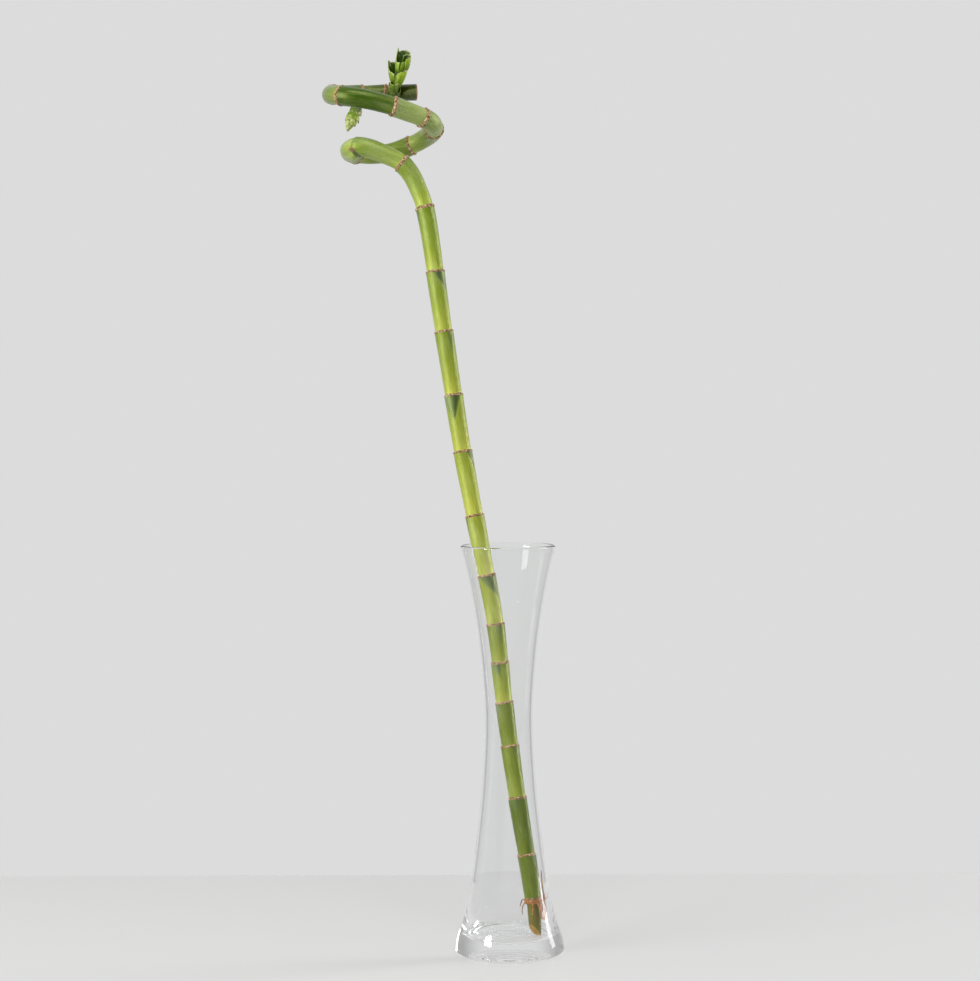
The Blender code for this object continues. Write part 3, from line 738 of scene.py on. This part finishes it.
def cane_shape(distance, around):
    x, y = math.cos(around), math.sin(around)
    uneven = 0.10 * ripple(x * 1.4, y * 1.4, distance / 17)
    uneven += 0.04 * ripple(x * 4, y * 4, distance / 5)
    if distance < STUMP_LENGTH:
        uneven += 0.3 * ripple(x * 3, y * 3, distance / 2.5)
    sunk = MARK_DEPTH * sheath_mark(distance, around)[1]
    notch = NOTCH_DEPTH * bud_notch(distance, around)
    return uneven + bud_swell(distance, around) - notch - sunk


def wax_and_highlight(distance, around):
    """Whitish wax, in drifts along the cane; on some internodes it also stands for a painted
    highlight.
    """
    x, y = math.cos(around), math.sin(around)
    drift = ripple(x * 1.1 + 7, y * 1.1, distance / 26)
    drift += 0.4 * ripple(x * 3, y * 3 + 5, distance / 9)
    return max(0.0, min(1.0, WAX_AND_HIGHLIGHTS.get(internode(distance), 0.0) + 0.7 * drift))


def note_around(distance, around):
    """Place round the cane and along it, for patterns that follow the surface."""
    return Vector((math.cos(around), math.sin(around), distance))


def note_node(distance, around):
    """Share of the way up the internode, depth of its green, and how brown the skin is at the bud's
    tip. make_cane adds the brown rim of the cut end."""
    number = min(max(internode(distance), 0), len(INTERNODES) - 1)
    low, high = RINGS[number], RINGS[number + 1]
    share = max(0.0, min(1.0, (distance - low) / (high - low)))
    tip = math.hypot((distance - RINGS[BUD_RING]) / TIP_LENGTH, (around - NOTCH_TIP) / TIP_WIDTH)
    return Vector((share, DEPTHS[number], max(0.0, TIP_STRENGTH - tip)))


def note_mark(distance, around):
    """Grey of the sheath mark, whitish wax that in part stands for a painted highlight, and the
    painted shade in a mark's dent or in the notch.
    """
    grey, dark = sheath_mark(distance, around)
    # painted shade in the notch
    notch = min(1.0, NOTCH_DARKNESS * bud_notch(distance, around))
    return Vector((grey, wax_and_highlight(distance, around), max(dark, notch)))


def slice_off(bm, point, normal, verts=None):
    """Cut away what lies beyond a plane and close the cut with a face of the cut wood."""
    verts = verts or bm.verts[:]
    geometry = verts + list({edge for vert in verts for edge in vert.link_edges})
    geometry += list({face for vert in verts for face in vert.link_faces})
    cut = bmesh.ops.bisect_plane(bm, geom=geometry, plane_co=point, plane_no=normal,
                                 clear_outer=True)
    edges = [item for item in cut["geom_cut"] if isinstance(item, bmesh.types.BMEdge)]
    made = bmesh.ops.contextual_create(bm, geom=edges)["faces"]
    for face in made:
        face.material_index = 1


def make_cane(route, skin, wood):
    bm = bmesh.new()
    tags = [(bm.verts.layers.float_vector.new("around"), note_around),
            (bm.verts.layers.float_vector.new("node"), note_node),
            (bm.verts.layers.float_vector.new("mark"), note_mark)]
    tube(bm, route, cane_sections(), CANE_SIDES, cane_shape, tags=tags)
    slice_off(bm, route.frame(STUMP_CUT_DEPTH).translation, STUMP_CUT)
    slice_off(bm, Vector((0, 0, FLOOR_HEIGHT + SEAT_GAP)), Vector((0, 0, -1)))
    last = [vert for vert in bm.verts if vert[tags[0][0]].z > RINGS[-2] + 1]
    slice_off(bm, END_CUT_PLACE, END_CUT, last)
    bmesh.ops.recalc_face_normals(bm, faces=bm.faces)
    node = tags[1][0]
    for vert in bm.verts:
        short = (END_CUT_PLACE - vert.co).dot(END_CUT)
        if vert[tags[0][0]].z > RINGS[-2] and short < END_BROWN:
            vert[node] = Vector((vert[node].x, vert[node].y, 1 - short / END_BROWN))
    settle("cane", bm, [skin, wood], "stalk")


def make_scars(route, skin):
    """Thin dry rings with a torn edge at every node."""
    bm = bmesh.new()
    layer = bm.verts.layers.float_vector.new("around")
    for number, ring in enumerate(RINGS[:-1]):
        if number == BUD_RING:
            continue
        wide = STUMP_RADIUS + FIRST_SCAR_STEP
        if number:
            wide = cane_radius(ring, RINGS[number - 1], ring)
        narrow = read_off(CANE_GIRTH, ring)
        wander, torn, bulk = STRAIGHT_SCAR if number < SPIRAL_RING else SPIRAL_SCAR

        def ragged(distance, around, torn=torn):
            return torn * ripple(math.cos(around) * 5, math.sin(around) * 5, distance)

        rows = [(ring - 1.0 * bulk, wide + 0.02), (ring - 0.55 * bulk, wide + 0.17 * bulk),
                (ring - 0.1, wide + 0.26 * bulk),
                (ring + 0.35 * bulk, blend(wide, narrow, 0.35) + 0.2 * bulk),
                (ring + 0.7 * bulk, narrow + 0.03)]
        band = tube(bm, route, rows, CANE_SIDES, ragged, caps=False, tags=[(layer, note_around)])
        for vert in band:
            around = vert[layer]
            along = route.frame(ring).to_3x3().col[2]
            vert.co += along * wander * ripple(around.x * 1.5, around.y * 1.5, number * 3.7)
    bmesh.ops.recalc_face_normals(bm, faces=bm.faces)
    bmesh.ops.solidify(bm, geom=bm.faces[:], thickness=SCAR_THICKNESS)
    bmesh.ops.recalc_face_normals(bm, faces=bm.faces)
    settle("ring_scars", bm, [skin])


# ---------------------------------------------------------------- roots
def root_route(route, degrees, reach):
    """Route of one root, from points given outward and upward of the collar's middle."""
    middle = route.frame(STUMP_LENGTH - RING_STEP - SEAT_GAP - COLLAR_HEIGHT / 2).translation
    turn = math.radians(degrees)
    outward = Vector((math.cos(turn), math.sin(turn), 0))
    sideways = Vector((-math.sin(turn), math.cos(turn), 0))
    start = middle + outward * (COLLAR_BORE + ROOT_START)
    points = []
    for step, (out, up) in enumerate(reach):
        swerve = ROOT_SWERVE * ripple(degrees * 0.37, step * 0.9, 2.0) * min(step, 2)
        points.append(start + outward * out + sideways * swerve + Vector((0, 0, up)))
    return Route(points)


def fine_roots():
    """Thin young roots in a tangle, most of them on the right of the collar."""
    draw = random.Random(11)
    strands = []
    for number in range(FINE_ROOTS):
        degrees, rise, out = draw.gauss(10, 55), draw.uniform(-1.6, 1.2), 0.0
        up, reach = 0.0, [(0, 0)]
        for step in range(draw.randint(3, 5)):
            out += draw.uniform(0.6, 2.0) / (1 + 0.5 * step)
            up += rise * draw.uniform(0.5, 1.5)
            reach.append((out, up))
        strands.append((degrees, draw.uniform(0.5, 0.85), reach))
    return strands


def make_roots(route, skin):
    bm = bmesh.new()
    layer = bm.verts.layers.float_vector.new("around")
    top = STUMP_LENGTH - RING_STEP - SEAT_GAP
    rings = []
    for k in range(COLLAR_ROWS + 1):
        share = k / COLLAR_ROWS
        bulge = COLLAR_RADIUS - COLLAR_ROUNDING * (2 * share - 1) ** 2
        rings.append((top - COLLAR_HEIGHT * (1 - share), bulge))

    def knobbly(distance, around):
        return COLLAR_KNOBS * ripple(math.cos(around) * 3, math.sin(around) * 3, distance / 1.6)

    collar = tube(bm, route, rings, COLLAR_SIDES, knobbly, caps=False,
                  tags=[(layer, lambda distance, around: Vector((0, 0, 0)))])
    faces = list({face for vert in collar for face in vert.link_faces})
    bmesh.ops.recalc_face_normals(bm, faces=faces)
    bmesh.ops.solidify(bm, geom=faces, thickness=COLLAR_RADIUS - COLLAR_ROUNDING - COLLAR_BORE)
    for number, (degrees, thickness, reach) in enumerate(ROOTS + fine_roots()):
        line = root_route(route, degrees, reach)
        count = max(10, round(line.length / ROOT_STEP))
        sections = []
        for k in range(count + 1):
            share = k / count
            girth = thickness / 2 * blend(1.0, ROOT_TIP, share ** 2)
            if share > ROUNDED_FROM:
                girth *= math.sqrt(max(0.05, 1 - ((share - ROUNDED_FROM) / ROUNDED_SPAN) ** 2))
            sections.append((line.length * share, girth))

        def kinked(distance, around, seed=number):
            x, y = math.cos(around), math.sin(around)
            return thickness * ROOT_KINKS * ripple(x * 2 + seed, y * 2, distance / 1.3)

        tube(bm, line, sections, ROOT_SIDES, kinked,
             tags=[(layer, lambda distance, around: Vector((0, 0, distance / line.length)))])
    bmesh.ops.recalc_face_normals(bm, faces=bm.faces)
    settle("root_bunch", bm, [skin], "roots")


# ---------------------------------------------------------------- shoots
def add_leaf(bm, layer, spec):
    """One cut leaf base: a trough that wraps the shoot below and opens towards its cut edge."""
    foot, reach, midrib, radii, wraps, slant, droop, (corner, height), torn, kind = spec
    foot = Vector(foot)
    along, length = Vector(reach).normalized(), Vector(reach).length
    out = Vector(midrib)
    out = (out - along * out.dot(along)).normalized()
    side = along.cross(out)
    flare = OPENING if radii[1] > radii[0] else NARROWING
    grid = wrap_grid(bm, LEAF_ACROSS, LEAF_ALONG)
    for vert in grid:
        across, up = vert.co.x, vert.co.y
        vert[layer] = Vector((across, up, kind))
        angle = math.radians(blend(*wraps, up)) * across
        edge = 1 + slant * math.sin(angle) - droop * (1 - math.cos(angle)) / 2
        edge += height * math.exp(-((across - corner) / CORNER_WIDTH) ** 2)
        edge += torn * ripple(across * 5.0, foot.x * 3, kind * 9)
        spread = out * math.cos(angle) + side * math.sin(angle)
        crease = LEAF_UNEVEN * ripple(across * 6, up * 1.5, foot.z)
        crease += MIDRIB_RISE * math.exp(-(across / MIDRIB_WIDTH) ** 2)
        girth = blend(*radii, up ** flare) + crease + LEAF_BELLY * math.sin(math.pi * up)
        vert.co = foot + along * (length * up * edge) + spread * girth
    faces = list({face for vert in grid for face in vert.link_faces})
    bm.normal_update()
    inward = 0
    for face in faces:
        inward += face.normal.dot(out) * (face.calc_center_median() - foot).dot(out) < 0
    if inward > len(faces) / 2:
        bmesh.ops.reverse_faces(bm, faces=faces)
    before = set(bm.verts)
    bmesh.ops.solidify(bm, geom=faces, thickness=LEAF_THICKNESS)
    for vert in bm.verts:
        if vert not in before:
            vert[layer] = vert[layer] - Vector((0, 0, INNER_SIDE))


def add_stem(bm, layer, route, radii):
    rows = []
    for k in range(STEM_ROWS + 1):
        rows.append((route.length * k / STEM_ROWS, blend(*radii, k / STEM_ROWS)))

    def creased(distance, around):
        return STEM_CREASE * ripple(math.cos(around) * 2, math.sin(around) * 2, distance / 3)

    def note_leaf(distance, around):
        return Vector((around / math.pi, STEM_SHADE, STEM_KIND))

    tube(bm, route, rows, STEM_SIDES, creased, tags=[(layer, note_leaf)])


def make_shoot(name, node, stem, radii, leaves, skin):
    bm = bmesh.new()
    layer = bm.verts.layers.float_vector.new("leaf")
    add_stem(bm, layer, Route(stem), radii)
    for spec in leaves:
        add_leaf(bm, layer, spec)
    settle(name, bm, [skin], node)


# ---------------------------------------------------------------- stage
def make_floor():
    bm = bmesh.new()
    bmesh.ops.create_grid(bm, x_segments=8, y_segments=8, size=1.0)
    for vert in bm.verts:
        back = blend(FLOOR_FRONT, FLOOR_BACK, (vert.co.y + 1) / 2)
        vert.co = Vector((FLOOR_SIDE * vert.co.x, back, FLOOR_LEVEL))
    mesh = bpy.data.meshes.new("table_top")
    bm.to_mesh(mesh)
    bm.free()
    table = bpy.data.objects.new("table_top", mesh)
    mesh.materials.append(floor_finish())
    bpy.context.scene.collection.objects.link(table)


def add_softbox(name, place, aim, width, height, power):
    lamp = bpy.data.lights.new(name, "AREA")
    lamp.shape, lamp.size, lamp.size_y, lamp.energy = "RECTANGLE", width, height, power
    box = bpy.data.objects.new(name, lamp)
    box.location = place
    box.rotation_euler = (Vector(aim) - Vector(place)).to_track_quat("-Z", "Y").to_euler()
    bpy.context.scene.collection.objects.link(box)
    return box


def link_vase(box, name, vase):
    """Give a softbox its own list of what it lights, with the vase on it."""
    lit = bpy.data.collections.new(name)
    lit.objects.link(vase)
    box.light_linking.receiver_collection = lit
    return lit


def make_lights(vase):
    """Soft light from above, right and left. The left one would flood the glass, so it leaves the
    vase to a smaller softbox that lights nothing else. Neither shows through the glass."""
    boxes = {name: add_softbox(name, *spec) for name, spec in SOFTBOXES.items()}
    left, streak = boxes["soft_left"], boxes["vase_streak"]
    left.visible_transmission = streak.visible_transmission = False
    others = link_vase(left, "not_for_soft_left", vase)
    others.collection_objects[0].light_linking.link_state = "EXCLUDE"
    link_vase(streak, "for_vase_streak", vase)


def make_backdrop():
    """Pale all round. Reflections find it darker behind the camera, soft light from all round is
    weak, and light guided along inside the glass finds dark cards on both sides, which draw its
    edges."""
    world = bpy.data.worlds.new("studio")
    bpy.context.scene.world = world
    backdrop = Nodes(world)
    direction = backdrop.node("ShaderNodeTexCoord", {}, {})
    across, ahead = direction.part(0), direction.part(1)
    behind = backdrop.ray("Is Reflection Ray") * ahead.step(*BEHIND_CAMERA)
    through = backdrop.ray("Is Transmission Ray")
    guided = through.math("MINIMUM", through, backdrop.ray("Glossy Depth"))
    beside = guided * across.math("ABSOLUTE", across).step(*SIDE_CARDS)
    dim = behind + backdrop.ray("Is Diffuse Ray") + beside
    backdrop.feed(backdrop.tree.nodes["Background"].inputs["Color"],
                  backdrop.mix(dim, tint(BACKDROP), DIMMED))


def make_camera():
    lens = bpy.data.cameras.new("camera")
    lens.lens, lens.sensor_width, lens.sensor_fit = CAMERA_LENS, SENSOR, "HORIZONTAL"
    camera = bpy.data.objects.new("camera", lens)
    aim = Euler((math.pi / 2 - CAMERA_PITCH, 0, CAMERA_YAW)).to_matrix().to_4x4()
    camera.matrix_world = (Matrix.Translation(CAMERA_PLACE) @ aim
                           @ Matrix.Rotation(-CAMERA_ROLL, 4, "Z"))
    bpy.context.scene.collection.objects.link(camera)
    bpy.context.scene.camera = camera
    bpy.context.scene.view_settings.view_transform = "Standard"
    paths = bpy.context.scene.cycles
    paths.max_bounces = paths.glossy_bounces = paths.transmission_bounces = GLASS_BOUNCES


def main():
    cane_route = Route(CANE_POINTS)
    make_camera()
    vase = make_vase()
    make_cane(cane_route, cane_finish(), cut_finish())
    make_scars(cane_route, scar_finish())
    make_roots(cane_route, root_finish())
    green = leaf_finish()
    make_shoot("shoot_above", "upper_shoot", UPPER_STEM, UPPER_STEM_RADII, UPPER_LEAVES, green)
    make_shoot("shoot_inside", "lower_shoot", LOWER_STEM, LOWER_STEM_RADII, LOWER_LEAVES, green)
    make_floor()
    make_lights(vase)
    make_backdrop()


main()
